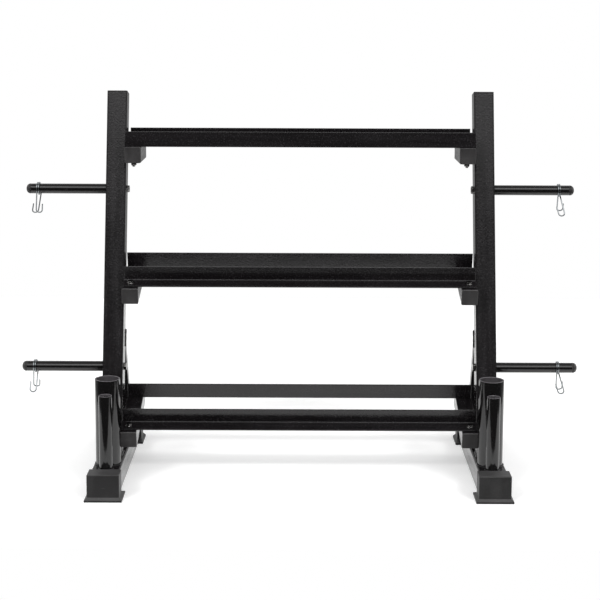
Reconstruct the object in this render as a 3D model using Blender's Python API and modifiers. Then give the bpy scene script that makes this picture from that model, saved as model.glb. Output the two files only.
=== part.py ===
"""Three-tier weight storage rack: two leaning uprights on foot rails, tilted angle-iron shelves,
plate pegs with spring clips on the outer sides and a pair of upright bar holders on each foot rail.

Metres, +Z up, +X to the right, the front of the rack towards -Y. The origin is on the floor, under
the middle of the rack.
"""
import math

import bmesh
import bpy
from mathutils import Matrix, Vector

# Clearance between pieces that touch, and the extra length of tubes and cutters where one is cut to fit
CLEAR = 0.0003
SPARE = 0.100

# Distance at which two corners of a mesh count as one
MERGE_DISTANCE = 0.00001

# Foot rails and their plastic foot caps
SIDE_X = 0.460
BASE_LENGTH = 0.542
BASE_WIDTH = 0.068
BASE_HEIGHT = 0.056
BASE_WALL = 0.003
BASE_CORNER = 0.004
CAP_WALL = 0.004
CAP_SOLE = 0.004
SKIRT_SIDE = 0.006
SKIRT_OUTER_END = 0.005
SKIRT_INNER_END = 0.022
SKIRT_RIM = 0.0045
SKIRT_HEIGHT = 0.011
SKIRT_ROOT = 0.0005
CAP_EDGE = 0.002

# Uprights, which lean back from the foot rails
UPRIGHT_SIZE = 0.050
UPRIGHT_WALL = 0.0025
UPRIGHT_CORNER = 0.004
UPRIGHT_LEAN = math.radians(13.5)
UPRIGHT_FOOT = 0.185
UPRIGHT_LENGTH = 0.902
PLUG_DEPTH = 0.016
PLUG_PLATE = 0.003

# Rear struts, from the foot rails to the backs of the uprights
STRUT_WIDTH = 0.050
STRUT_THICKNESS = 0.025
STRUT_WALL = 0.002
STRUT_CORNER = 0.003
STRUT_INSET = 0.138
STRUT_TOP_HEIGHT = 0.332

# Bar holders, which stand on the foot rails: a wide tube, and a narrow one welded to its front
HOLDER_PLACE = 0.110
HOLDER_RADIUS = 0.030
HOLDER_WALL = 0.003
HOLDER_HEIGHT = 0.2085
NARROW_HOLDER_RADIUS = 0.016
NARROW_HOLDER_WALL = 0.002
NARROW_HOLDER_HEIGHT = 0.1785
HOLDER_RIM = 0.0008
HOLDER_WELD = 0.0006

# Shelf arms and the steel angles that they carry
HOLDER_ARM_GAP = 0.002
ARM_SIZE = 0.040
ARM_WALL = 0.0025
ARM_CORNER = 0.003
ARM_CAP_PLATE = 0.003
ARM_CAP_PLUG = 0.010
ANGLE_LEG = 0.038
ANGLE_THICKNESS = 0.003
ANGLE_FILLET = 0.0025
ANGLE_END_GAP = 0.002
ANGLE_SETBACK = 0.003
FRONT_FLANGE_SETBACK = 0.012

# Bolts through the angles and the arms
SHELF_BOLT_RADIUS = 0.004
SHELF_BOLT_HEAD = 0.013
SHELF_BOLT_HEAD_HEIGHT = 0.0055
SHELF_NUT_HEIGHT = 0.008
SHELF_BOLT_END = 0.003

HEX_CORNERS = 2 / math.sqrt(3)

# Plate pegs, their end caps and the bolts that hold them
PEG_RADIUS = 0.0125
PEG_WALL = 0.0025
PEG_REACH = 0.201
PEG_BELOW_TOP_SHELF = 0.109
LOWER_PEG_HEIGHT = 0.269
PEG_ROOT = 0.020
PEG_CAP_DOME = 0.010
PEG_CAP_RIM = 0.002
PEG_CAP_PLUG = 0.015
PEG_BOLT_RADIUS = 0.005
PEG_BOLT_HEAD = 0.017
PEG_BOLT_HEAD_HEIGHT = 0.0065
PEG_BOLT_GRIP = 0.016

# Spring clips, all of one shape: a coil of one turn and a part, and two legs that cross under the peg
CLIP_WIRE = 0.0031
CLIP_TURN_GAP = 0.0010
CLIP_COIL_PLAY = 0.0014
CLIP_LEG = 0.0625
CLIP_SPLAY = math.radians(35)
CLIP_SLANTS = {"outer": math.radians(9), "inner": math.radians(3)}
CLIP_HOOK_WIDTH = 0.015
CLIP_HOOK_RETURN = 0.020
CURL_POINTS = 10

# Where each clip sits: how far from its peg's tip, and how it is turned about the peg and tilted on it
CLIP_SEATS = {
    "left_upper": (0.031, math.radians(7), math.radians(2)),
    "left_lower": (0.033, math.radians(-4), math.radians(2)),
    "right_upper": (0.038, math.radians(8), math.radians(-2)),
    "right_lower": (0.048, math.radians(-2), math.radians(-2)),
}

# Roundness of turned pieces and corners
TURN_STEPS = 32
BOLT_STEPS = 12
CORNER_STEPS = 3
DOME_STEPS = 6

COLLECTION = "weight_storage_rack"
CUTTERS = "cutters"

# Finishes: colour, roughness, metallic
FINISHES = {
    "powder_coat": ((0.022, 0.021, 0.022), 0.42, 0.0),
    "gloss_coat": ((0.014, 0.013, 0.014), 0.22, 0.0),
    "foot_plastic": ((0.030, 0.029, 0.029), 0.62, 0.0),
    "cap_plastic": ((0.018, 0.018, 0.018), 0.48, 0.0),
    "fastener": ((0.10, 0.10, 0.10), 0.35, 1.0),
    "spring_wire": ((0.62, 0.63, 0.63), 0.16, 1.0),
}

# Sizes that follow from those above
BASE_TOP = CAP_SOLE + BASE_HEIGHT
NARROW_HOLDER_PLACE = HOLDER_PLACE - HOLDER_RADIUS + HOLDER_WELD - NARROW_HOLDER_RADIUS
CAP_DEPTH = NARROW_HOLDER_PLACE - NARROW_HOLDER_RADIUS - 2 * CLEAR
FRONT_Y = -BASE_LENGTH / 2
UPRIGHT_INNER_X = SIDE_X - UPRIGHT_SIZE / 2
UPRIGHT_OUTER_X = SIDE_X + UPRIGHT_SIZE / 2
ARM_X = UPRIGHT_INNER_X - CLEAR - ARM_SIZE / 2
ANGLE_LENGTH = 2 * (UPRIGHT_INNER_X - ANGLE_END_GAP)
ANGLE_BOLT_LINE = (ANGLE_LEG + ANGLE_THICKNESS) / 2
PEG_LENGTH = PEG_REACH - PEG_CAP_DOME - PEG_CAP_RIM - CLEAR
CLIP_RADIUS = PEG_RADIUS + CLIP_COIL_PLAY + CLIP_WIRE / 2
CLIP_PITCH = CLIP_WIRE + CLIP_TURN_GAP
SIDES = {"left": -1, "right": 1}


def upright_y(height):
    """Where the uprights' centre lines stand, front to back, at a height."""
    return FRONT_Y + UPRIGHT_FOOT + (height - BASE_TOP - 2 * CLEAR) * math.tan(UPRIGHT_LEAN)


def behind_holder():
    """Front of the arms that stand just behind the bar holders, a little inside of their middles."""
    inset = SIDE_X - ARM_X - ARM_SIZE / 2
    return FRONT_Y + HOLDER_PLACE + math.sqrt(max(HOLDER_RADIUS ** 2 - inset ** 2, 0)) + HOLDER_ARM_GAP


# Each shelf: the height and place of its arms' front top edge, its tilt, the length of its arms, and
# whether its lips stand at the arms' two ends
TOP_SHELF_HEIGHT = 0.808
TOP_SHELF_AHEAD = 0.068
MIDDLE_SHELF_HEIGHT = 0.470
MIDDLE_SHELF_AHEAD = 0.087
BOTTOM_SHELF_HEIGHT = 0.130
SHELVES = {
    "top": {"height": TOP_SHELF_HEIGHT, "front": upright_y(TOP_SHELF_HEIGHT) - TOP_SHELF_AHEAD,
            "tilt": 0.0, "length": 0.130, "lips_outside": True},
    "middle": {"height": MIDDLE_SHELF_HEIGHT, "front": upright_y(MIDDLE_SHELF_HEIGHT) - MIDDLE_SHELF_AHEAD,
               "tilt": math.radians(15), "length": 0.171, "lips_outside": False},
    "bottom": {"height": BOTTOM_SHELF_HEIGHT, "front": behind_holder(),
               "tilt": math.radians(15), "length": 0.212, "lips_outside": False},
}
PEG_HEIGHTS = {"upper": TOP_SHELF_HEIGHT - PEG_BELOW_TOP_SHELF, "lower": LOWER_PEG_HEIGHT}


def clear_scene():
    for item in list(bpy.data.objects):
        bpy.data.objects.remove(item, do_unlink=True)


def make_collection(name):
    group = bpy.data.collections.new(name)
    bpy.context.scene.collection.children.link(group)
    return group


def make_finish(name):
    colour, roughness, metallic = FINISHES[name]
    finish = bpy.data.materials.new(name)
    finish.use_nodes = True
    shader = finish.node_tree.nodes["Principled BSDF"]
    shader.inputs["Base Color"].default_value = (*colour, 1.0)
    shader.inputs["Roughness"].default_value = roughness
    shader.inputs["Metallic"].default_value = metallic
    finish.diffuse_color = (*colour, 1.0)
    return finish


def finish_named(name):
    return bpy.data.materials.get(name) or make_finish(name)


def place(item, location=(0, 0, 0), rotation=(0, 0, 0), parent=None, group=COLLECTION):
    """Put an object in a collection, at a place that is measured from its parent."""
    bpy.data.collections[group].objects.link(item)
    item.location = location
    item.rotation_euler = rotation
    item.parent = parent
    return item


def make_empty(name, location, rotation=(0, 0, 0)):
    """A frame that pieces are placed from."""
    return place(bpy.data.objects.new(name, None), location, rotation)


def make_piece(name, mesh, finish, **where):
    """A named sub-part from a mesh, which may be shared with other sub-parts."""
    piece = bpy.data.objects.new(name, mesh)
    if not mesh.materials:
        mesh.materials.append(finish_named(finish))
    return place(piece, **where)


def make_cutter(name, mesh, **where):
    cutter = place(bpy.data.objects.new(name, mesh), group=CUTTERS, **where)
    cutter.hide_render = True
    cutter.display_type = "WIRE"
    return cutter


def combine(piece, other, operation="DIFFERENCE"):
    step = piece.modifiers.new(other.name, "BOOLEAN")
    step.operation = operation
    step.object = other
    return piece


def baked(piece, *helpers):
    """The mesh of an object with its modifiers worked out; the object and its helpers are removed."""
    bpy.context.view_layer.update()
    solved = piece.evaluated_get(bpy.context.evaluated_depsgraph_get())
    mesh = bpy.data.meshes.new_from_object(solved)
    for item in (piece, *helpers):
        bpy.data.objects.remove(item, do_unlink=True)
    return mesh


def shade_round(mesh, angle=math.radians(35)):
    mesh.shade_smooth()
    mesh.set_sharp_from_angle(angle=angle)
    return mesh


def mesh_from(bm, name):
    mesh = bpy.data.meshes.new(name)
    bm.to_mesh(mesh)
    bm.free()
    return mesh


def box_mesh(name, size, centre=(0, 0, 0)):
    bm = bmesh.new()
    bmesh.ops.create_cube(bm, size=1.0, matrix=Matrix.Translation(centre) @ Matrix.Diagonal((*size, 1.0)))
    return mesh_from(bm, name)


def round_mesh(name, radius, low, high, steps, axis="Z"):
    """A cylinder, or with few steps a prism, from low to high along an axis through the origin."""
    turn = {"X": Matrix.Rotation(math.pi / 2, 4, "Y"), "Z": Matrix.Identity(4)}[axis]
    middle = turn @ Matrix.Translation((0, 0, (low + high) / 2))
    bm = bmesh.new()
    bmesh.ops.create_cone(bm, cap_ends=True, segments=steps, radius1=radius, radius2=radius,
                          depth=high - low, matrix=middle)
    return mesh_from(bm, name)


def rounded_rectangle(width, height, radius):
    """Corner points of a rectangle about the origin whose corners are arcs."""
    points = []
    for quarter, (sx, sy) in enumerate(((1, 1), (-1, 1), (-1, -1), (1, -1))):
        centre = Vector((sx * (width / 2 - radius), sy * (height / 2 - radius)))
        for step in range(CORNER_STEPS + 1):
            angle = (quarter + step / CORNER_STEPS) * math.pi / 2
            points.append(centre + radius * Vector((math.cos(angle), math.sin(angle))))
    return points


def outline_mesh(name, loops, length):
    """A solid with a flat outline, holes included, drawn out along Z to both sides of the origin."""
    curve = bpy.data.curves.new(name, "CURVE")
    curve.dimensions = "2D"
    curve.fill_mode = "BOTH"
    curve.extrude = length / 2
    for loop in loops:
        spline = curve.splines.new("POLY")
        spline.points.add(len(loop) - 1)
        for point, (x, y) in zip(spline.points, loop):
            point.co = (x, y, 0, 1)
        spline.use_cyclic_u = True
    mesh = baked(in_scene(name, curve))
    bpy.data.curves.remove(curve)
    bm = bmesh.new()
    bm.from_mesh(mesh)
    bmesh.ops.remove_doubles(bm, verts=bm.verts, dist=MERGE_DISTANCE)
    bmesh.ops.recalc_face_normals(bm, faces=bm.faces)
    bm.to_mesh(mesh)
    bm.free()
    return mesh


def tube_mesh(name, width, height, wall, corner, length):
    return outline_mesh(name, [
        rounded_rectangle(width, height, corner),
        rounded_rectangle(width - 2 * wall, height - 2 * wall, max(corner - wall, CLEAR)),
    ], length)


def in_scene(name, mesh, location=(0, 0, 0)):
    """A helper object for shaping a mesh; baked() removes it again."""
    helper = bpy.data.objects.new(name, mesh)
    helper.location = location
    bpy.context.scene.collection.objects.link(helper)
    return helper


def plug_mesh(name, size, corner, wall, plate, depth):
    """A square tube's end cap: a plate from z = 0 up, and below it a plug that fits the tube's bore."""
    bore = size - 2 * (wall + CLEAR)
    overlap = plate / 2
    outside = outline_mesh(name, [rounded_rectangle(size, size, corner)], plate)
    inside = outline_mesh("plug", [rounded_rectangle(bore, bore, max(corner - wall, CLEAR))], depth + overlap)
    cap = in_scene(name, outside, (0, 0, plate / 2))
    plug = in_scene("plug", inside, (0, 0, (overlap - depth) / 2))
    combine(cap, plug, "UNION")
    mesh = baked(cap, plug)
    mesh.transform(Matrix.Translation((0, 0, plate / 2)))
    return mesh


def turned_mesh(name, profile, closed, steps=TURN_STEPS):
    """A shape turned about Z from a profile of (radius, height) points, outer side first, top down."""
    bm = bmesh.new()
    corners = [bm.verts.new((radius, 0, height)) for radius, height in profile]
    for first, second in zip(corners, corners[1:] + corners[:1] if closed else corners[1:]):
        bm.edges.new((first, second))
    turned = in_scene(name, mesh_from(bm, name))
    screw = turned.modifiers.new("turn", "SCREW")
    screw.steps = steps
    screw.render_steps = steps
    screw.use_merge_vertices = True
    screw.merge_threshold = MERGE_DISTANCE
    return shade_round(baked(turned))


def base_tubes():
    length = BASE_LENGTH - 2 * (CAP_WALL + CLEAR)
    middle = CAP_SOLE + CLEAR + BASE_HEIGHT / 2
    mesh = tube_mesh("base_tube", BASE_WIDTH, BASE_HEIGHT, BASE_WALL, BASE_CORNER, length)
    for side, sign in SIDES.items():
        make_piece(f"base_tube_{side}", mesh, "powder_coat",
                   location=(sign * SIDE_X, 0, middle), rotation=(math.pi / 2, 0, 0))


def foot_cap_mesh():
    """A foot cap with its closed end at y = 0 and its open end towards +Y, standing on z = 0."""
    width = BASE_WIDTH + 2 * CAP_WALL + 2 * CLEAR
    height = CAP_SOLE + BASE_HEIGHT + CAP_WALL + 2 * CLEAR
    block = box_mesh("foot_cap", (width, CAP_DEPTH, height), (0, CAP_DEPTH / 2, height / 2))
    body = in_scene("foot_cap", block)
    edge = body.modifiers.new("edges", "BEVEL")
    edge.width = CAP_EDGE
    edge.segments = 2
    skirt_length = CAP_DEPTH + SKIRT_OUTER_END + SKIRT_INNER_END
    skirt_width = width + 2 * SKIRT_SIDE
    middle = skirt_length / 2 - SKIRT_OUTER_END
    bm = bmesh.new()
    bmesh.ops.create_cube(bm, size=1.0, matrix=Matrix.Translation((0, middle, SKIRT_RIM / 2))
                          @ Matrix.Diagonal((skirt_width, skirt_length, SKIRT_RIM, 1.0)))
    rim_top = max(bm.faces, key=lambda face: face.calc_center_median().z)
    slope = bmesh.ops.extrude_face_region(bm, geom=[rim_top])
    bmesh.ops.delete(bm, geom=[rim_top], context="FACES_ONLY")
    for corner in (item for item in slope["geom"] if isinstance(item, bmesh.types.BMVert)):
        corner.co.x = math.copysign(width / 2 - SKIRT_ROOT, corner.co.x)
        corner.co.y = SKIRT_ROOT if corner.co.y < middle else CAP_DEPTH - SKIRT_ROOT
        corner.co.z = SKIRT_HEIGHT
    skirt = in_scene("skirt", mesh_from(bm, "skirt"))
    socket = in_scene("socket", box_mesh(
        "socket", (BASE_WIDTH + 2 * CLEAR, BASE_LENGTH, BASE_HEIGHT + 2 * CLEAR),
        (0, CAP_WALL + BASE_LENGTH / 2, CAP_SOLE + BASE_HEIGHT / 2 + CLEAR)))
    combine(body, skirt, "UNION")
    combine(body, socket)
    return baked(body, skirt, socket)


def foot_caps():
    mesh = foot_cap_mesh()
    for side, sign in SIDES.items():
        make_piece(f"foot_cap_front_{side}", mesh, "foot_plastic", location=(sign * SIDE_X, FRONT_Y, 0))
        make_piece(f"foot_cap_rear_{side}", mesh, "foot_plastic",
                   location=(sign * SIDE_X, -FRONT_Y, 0), rotation=(0, 0, math.pi))


def upright_frames():
    """One frame for each side: its origin at the upright's foot, its Z along the upright."""
    y, z = FRONT_Y + UPRIGHT_FOOT, BASE_TOP + 2 * CLEAR
    return {side: make_empty(f"upright_frame_{side}", (sign * SIDE_X, y, z), (-UPRIGHT_LEAN, 0, 0))
            for side, sign in SIDES.items()}


def along_upright(height):
    """Distance from the upright's foot, along it, at which its centre line reaches a height."""
    return (height - BASE_TOP - 2 * CLEAR) / math.cos(UPRIGHT_LEAN)


def uprights(frames):
    length = UPRIGHT_LENGTH - PLUG_PLATE - CLEAR
    tube = tube_mesh("upright", UPRIGHT_SIZE, UPRIGHT_SIZE, UPRIGHT_WALL, UPRIGHT_CORNER, length + SPARE)
    cap = plug_mesh("upright_cap", UPRIGHT_SIZE, UPRIGHT_CORNER, UPRIGHT_WALL, PLUG_PLATE, PLUG_DEPTH)
    floor_cut = box_mesh("under_upright", (2 * UPRIGHT_SIZE, 4 * UPRIGHT_SIZE, 2 * SPARE),
                         (0, 0, BASE_TOP + 2 * CLEAR - SPARE))
    hole = round_mesh("peg_hole", PEG_BOLT_RADIUS + CLEAR, -UPRIGHT_SIZE, UPRIGHT_SIZE, BOLT_STEPS, "X")
    for side, sign in SIDES.items():
        upright = make_piece(f"upright_{side}", tube.copy(), "powder_coat",
                             location=(0, 0, (length - SPARE) / 2), parent=frames[side])
        combine(upright, make_cutter(f"under_upright_{side}", floor_cut,
                                     location=(sign * SIDE_X, FRONT_Y + UPRIGHT_FOOT, 0)))
        for level, height in PEG_HEIGHTS.items():
            combine(upright, make_cutter(f"peg_hole_{side}_{level}", hole,
                                         location=(0, 0, along_upright(height)), parent=frames[side]))
        make_piece(f"upright_cap_{side}", cap, "cap_plastic",
                   location=(0, 0, UPRIGHT_LENGTH - PLUG_PLATE), parent=frames[side])


def rear_struts(frames):
    """Flat tubes whose ends are cut along the foot rail's top and along the upright's back."""
    back = UPRIGHT_SIZE / 2 / math.cos(UPRIGHT_LEAN)
    top = Vector((0, upright_y(STRUT_TOP_HEIGHT) + back, STRUT_TOP_HEIGHT))
    foot = Vector((0, -FRONT_Y - STRUT_INSET, BASE_TOP))
    lean = math.atan2(foot.y - top.y, top.z - foot.z)
    length = (top - foot).length + SPARE
    tube = tube_mesh("rear_strut", STRUT_WIDTH, STRUT_THICKNESS, STRUT_WALL, STRUT_CORNER, length)
    floor_cut = box_mesh("under_strut", (2 * STRUT_WIDTH, 2 * SPARE, SPARE),
                         (0, 0, BASE_TOP + 2 * CLEAR - SPARE / 2))
    back_cut = box_mesh("upright_back", (2 * STRUT_WIDTH, SPARE, UPRIGHT_LENGTH),
                        (0, UPRIGHT_SIZE / 2 + CLEAR - SPARE / 2, UPRIGHT_LENGTH / 2))
    for side, sign in SIDES.items():
        middle = (top + foot) / 2
        strut = make_piece(f"rear_strut_{side}", tube.copy(), "powder_coat",
                           location=(sign * SIDE_X, middle.y, middle.z), rotation=(lean, 0, 0))
        combine(strut, make_cutter(f"under_strut_{side}", floor_cut, location=(sign * SIDE_X, foot.y, 0)))
        combine(strut, make_cutter(f"upright_back_{side}", back_cut, parent=frames[side]))


def holder_tube(name, radius, wall, height):
    """An open tube that stands on z = 0, with both edges of its rim chamfered."""
    inner, shoulder = radius - wall, height - HOLDER_RIM
    return turned_mesh(name, [
        (radius - HOLDER_RIM, height), (radius, shoulder), (radius, 0),
        (inner, 0), (inner, shoulder), (inner + HOLDER_RIM, height),
    ], closed=True)


def bar_holders():
    """On each foot rail, a wide tube and a narrow tube as one welded piece."""
    wide = in_scene("bar_holder", holder_tube("wide_holder", HOLDER_RADIUS, HOLDER_WALL, HOLDER_HEIGHT))
    tube = holder_tube("narrow_holder", NARROW_HOLDER_RADIUS, NARROW_HOLDER_WALL, NARROW_HOLDER_HEIGHT)
    narrow = in_scene("narrow_holder", tube, (0, NARROW_HOLDER_PLACE - HOLDER_PLACE, 0))
    combine(wide, narrow, "UNION")
    mesh = baked(wide, narrow)
    for side, sign in SIDES.items():
        make_piece(f"bar_holder_{side}", mesh, "gloss_coat",
                   location=(sign * SIDE_X, FRONT_Y + HOLDER_PLACE, BASE_TOP + 2 * CLEAR))


def angle_heels(shelf):
    """Where the two angles' heels stand along the arms, and whether each is turned about."""
    if shelf["lips_outside"]:
        return {"front": (ANGLE_SETBACK, False), "rear": (shelf["length"] - ANGLE_SETBACK, True)}
    return {"front": (FRONT_FLANGE_SETBACK + ANGLE_LEG, True),
            "rear": (shelf["length"] - ANGLE_SETBACK - ANGLE_LEG, False)}


def bolt_places(shelf):
    return {end: heel + (-ANGLE_BOLT_LINE if turned else ANGLE_BOLT_LINE)
            for end, (heel, turned) in angle_heels(shelf).items()}


def arm_mesh(name, shelf):
    """A square tube, closed at the rear, from behind its front cap; its top is z = 0."""
    start = ARM_CAP_PLATE + CLEAR
    length = shelf["length"] - start
    outer = outline_mesh(name, [rounded_rectangle(ARM_SIZE, ARM_SIZE, ARM_CORNER)], length)
    outer.transform(Matrix.Rotation(math.pi / 2, 4, "X"))
    outer.transform(Matrix.Translation((0, start + length / 2, -ARM_SIZE / 2)))
    arm = in_scene(name, outer)
    bore = ARM_SIZE - 2 * ARM_WALL
    end = start + length - ARM_WALL
    hollow = box_mesh("bore", (bore, end + SPARE, bore), (0, (end - SPARE) / 2, -ARM_SIZE / 2))
    helpers = [in_scene("bore", hollow)]
    hole = round_mesh("hole", SHELF_BOLT_RADIUS + CLEAR, -SPARE, SPARE, BOLT_STEPS)
    helpers += [in_scene("hole", hole, (0, place_along, 0)) for place_along in bolt_places(shelf).values()]
    for helper in helpers:
        combine(arm, helper)
    return baked(arm, *helpers)


def angle_mesh():
    """A steel angle along X: its heel on the origin, one leg lying along +Y, the other standing up."""
    leg, thick, fillet = ANGLE_LEG, ANGLE_THICKNESS, ANGLE_FILLET
    turns = [math.pi / 2 * step / CORNER_STEPS for step in range(CORNER_STEPS + 1)]
    root = thick + fillet
    inside = [(root - fillet * math.cos(turn), root - fillet * math.sin(turn)) for turn in reversed(turns)]
    outline = [(0, 0), (leg, 0), (leg, thick), *inside, (thick, leg), (0, leg)]
    mesh = outline_mesh("shelf_angle", [outline], ANGLE_LENGTH)
    mesh.transform(Matrix(((0, 0, 1, 0), (1, 0, 0, 0), (0, 1, 0, 0), (0, 0, 0, 1))))
    angle = in_scene("shelf_angle", mesh)
    hole = round_mesh("hole", SHELF_BOLT_RADIUS + CLEAR, -SPARE, SPARE, BOLT_STEPS)
    helpers = [in_scene("hole", hole, (sign * ARM_X, ANGLE_BOLT_LINE, 0)) for sign in SIDES.values()]
    for helper in helpers:
        combine(angle, helper)
    return baked(angle, *helpers)


def bolt_mesh(name, radius, head, head_height, low, nut=None):
    """A bolt down from z = 0, where its head sits, with an optional nut between two heights."""
    shank = in_scene(name, round_mesh(name, radius, low, head_height / 2, BOLT_STEPS))
    hexes = [in_scene("head", round_mesh("head", head / 2 * HEX_CORNERS, 0, head_height, 6))]
    if nut:
        hexes.append(in_scene("nut", round_mesh("nut", head / 2 * HEX_CORNERS, *nut, 6)))
    for item in hexes:
        combine(shank, item, "UNION")
    return baked(shank, *hexes)


def shelves():
    grip = ANGLE_THICKNESS + ARM_SIZE + 3 * CLEAR
    nut_low = -grip - SHELF_NUT_HEIGHT
    bolt = bolt_mesh("shelf_bolt", SHELF_BOLT_RADIUS, SHELF_BOLT_HEAD, SHELF_BOLT_HEAD_HEIGHT,
                     nut_low - SHELF_BOLT_END, nut=(nut_low, -grip))
    angle = angle_mesh()
    cap = plug_mesh("arm_cap", ARM_SIZE, ARM_CORNER, ARM_WALL, ARM_CAP_PLATE, ARM_CAP_PLUG)
    for level, shelf in SHELVES.items():
        corner = (0, shelf["front"], shelf["height"])
        frame = make_empty(f"shelf_frame_{level}", corner, (shelf["tilt"], 0, 0))
        arm = arm_mesh(f"shelf_arm_{level}", shelf)
        for side, sign in SIDES.items():
            make_piece(f"shelf_arm_{level}_{side}", arm, "powder_coat", parent=frame,
                       location=(sign * ARM_X, 0, 0))
            make_piece(f"arm_cap_{level}_{side}", cap, "foot_plastic", parent=frame,
                       location=(sign * ARM_X, ARM_CAP_PLATE, -ARM_SIZE / 2), rotation=(math.pi / 2, 0, 0))
        for end, (heel, turned) in angle_heels(shelf).items():
            make_piece(f"shelf_rail_{level}_{end}", angle, "powder_coat", location=(0, heel, CLEAR),
                       rotation=(0, 0, math.pi if turned else 0), parent=frame)
            for side, sign in SIDES.items():
                make_piece(f"shelf_bolt_{level}_{end}_{side}", bolt, "fastener", parent=frame,
                           location=(sign * ARM_X, bolt_places(shelf)[end], ANGLE_THICKNESS + 2 * CLEAR))


def peg_mesh():
    """A peg along Z: bolted end at z = 0, open end for the cap at the top."""
    inner = PEG_RADIUS - PEG_WALL
    hole = PEG_BOLT_RADIUS + CLEAR
    return turned_mesh("plate_peg", [
        (PEG_RADIUS, PEG_LENGTH), (PEG_RADIUS, 0), (hole, 0),
        (hole, PEG_ROOT), (inner, PEG_ROOT), (inner, PEG_LENGTH),
    ], closed=True)


def peg_cap_mesh():
    """A domed end cap: its shoulder at z = 0, its dome upwards, its plug downwards."""
    plug = PEG_RADIUS - PEG_WALL - CLEAR
    turns = [math.pi / 2 * step / DOME_STEPS for step in range(DOME_STEPS + 1)]
    dome = [(PEG_RADIUS * math.sin(turn), PEG_CAP_RIM + PEG_CAP_DOME * math.cos(turn)) for turn in turns]
    below = [(PEG_RADIUS, 0), (plug, 0), (plug, -PEG_CAP_PLUG), (0, -PEG_CAP_PLUG)]
    return turned_mesh("peg_cap", [*dome, *below], closed=False)


def pegs():
    peg, cap = peg_mesh(), peg_cap_mesh()
    bolt = bolt_mesh("peg_bolt", PEG_BOLT_RADIUS, PEG_BOLT_HEAD, PEG_BOLT_HEAD_HEIGHT,
                     -UPRIGHT_SIZE - PEG_BOLT_GRIP)
    for side, sign in SIDES.items():
        outward = (0, sign * math.pi / 2, 0)
        for level, height in PEG_HEIGHTS.items():
            y = upright_y(height)
            root = UPRIGHT_OUTER_X + CLEAR
            make_piece(f"plate_peg_{side}_{level}", peg, "gloss_coat",
                       location=(sign * root, y, height), rotation=outward)
            make_piece(f"peg_cap_{side}_{level}", cap, "cap_plastic",
                       location=(sign * (root + PEG_LENGTH + CLEAR), y, height), rotation=outward)
            make_piece(f"peg_bolt_{side}_{level}", bolt, "fastener", rotation=(0, -sign * math.pi / 2, 0),
                       location=(sign * (UPRIGHT_INNER_X - CLEAR), y, height))


def clip_leg(origin, down, across):
    """A leg that leaves the coil at its origin along down, and ends in a hook bent towards across."""
    radius = CLIP_HOOK_WIDTH / 2
    centre = origin + down * (CLIP_LEG - radius) + across * radius
    turns = [step * math.pi / (CURL_POINTS // 2) for step in range(CURL_POINTS // 2 + 1)]
    bend = [centre - across * radius * math.cos(turn) + down * radius * math.sin(turn) for turn in turns]
    return [*bend, bend[-1] - down * CLIP_HOOK_RETURN]


def clip_points():
    """The wire's centre line about the peg's axis X, for a peg that points towards +X."""
    sweep = math.pi + 2 * CLIP_SPLAY + 2 * math.pi
    steps = round(sweep / (2 * math.pi) * CURL_POINTS)
    length = CLIP_PITCH * sweep / (2 * math.pi)
    coil = []
    for step in range(steps + 1):
        share = step / steps
        angle = sweep * share - CLIP_SPLAY
        y, z = CLIP_RADIUS * math.cos(angle), CLIP_RADIUS * math.sin(angle)
        coil.append(Vector((length * (0.5 - share), y, z)))
    legs = []
    for start, slant, side in ((coil[0], CLIP_SLANTS["outer"], -1), (coil[-1], CLIP_SLANTS["inner"], 1)):
        down = Vector((math.tan(slant), side * math.sin(CLIP_SPLAY), -math.cos(CLIP_SPLAY))).normalized()
        along_peg = Vector((side, 0, 0))
        legs.append(clip_leg(start, down, (along_peg - down * down.dot(along_peg)).normalized()))
    return [*reversed(legs[0]), *coil, *legs[1]]


def least_self_gap(points, thickness):
    """Least gap between stretches of a wire that are further apart along it than three thicknesses."""
    fine = []
    for first, second in zip(points, points[1:]):
        count = max(1, round((second - first).length / (thickness / 3)))
        fine += [first.lerp(second, step / count) for step in range(count)]
    fine.append(points[-1])
    along = [0.0]
    for first, second in zip(fine, fine[1:]):
        along.append(along[-1] + (second - first).length)
    return min((fine[i] - fine[j]).length - thickness
               for i in range(len(fine)) for j in range(i + 1, len(fine))
               if along[j] - along[i] > 3 * thickness)


def clips():
    points = clip_points()
    print(f"spring clip: least gap to itself {1000 * least_self_gap(points, CLIP_WIRE):.2f} mm")
    for side, sign in SIDES.items():
        for level, height in PEG_HEIGHTS.items():
            wire = bpy.data.curves.new(f"spring_clip_{side}_{level}", "CURVE")
            wire.dimensions = "3D"
            wire.bevel_depth = CLIP_WIRE / 2
            wire.bevel_resolution = 1
            wire.use_fill_caps = True
            spline = wire.splines.new("POLY")
            spline.points.add(len(points) - 1)
            for knot, point in zip(spline.points, points):
                knot.co = (*point, 1)
            wire.materials.append(finish_named("spring_wire"))
            from_tip, turn, tilt = CLIP_SEATS[f"{side}_{level}"]
            reach = UPRIGHT_OUTER_X + PEG_REACH - from_tip
            clip = bpy.data.objects.new(f"spring_clip_{side}_{level}", wire)
            place(clip, (sign * reach, upright_y(height), height), (turn, tilt, math.pi * (sign < 0)))


def main():
    clear_scene()
    make_collection(COLLECTION)
    make_collection(CUTTERS)
    base_tubes()
    foot_caps()
    frames = upright_frames()
    uprights(frames)
    rear_struts(frames)
    bar_holders()
    shelves()
    pegs()
    clips()
    bpy.context.view_layer.update()


main()
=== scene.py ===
"""Looks of the three-tier weight storage rack, laid out as a Blender add-on.

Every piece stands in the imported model's frame: metres, +Z up, the front of the rack towards -Y.
"""
import math
import random

import bmesh
import bpy
from bpy.props import FloatProperty, FloatVectorProperty, PointerProperty
from mathutils import Matrix, Vector


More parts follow.
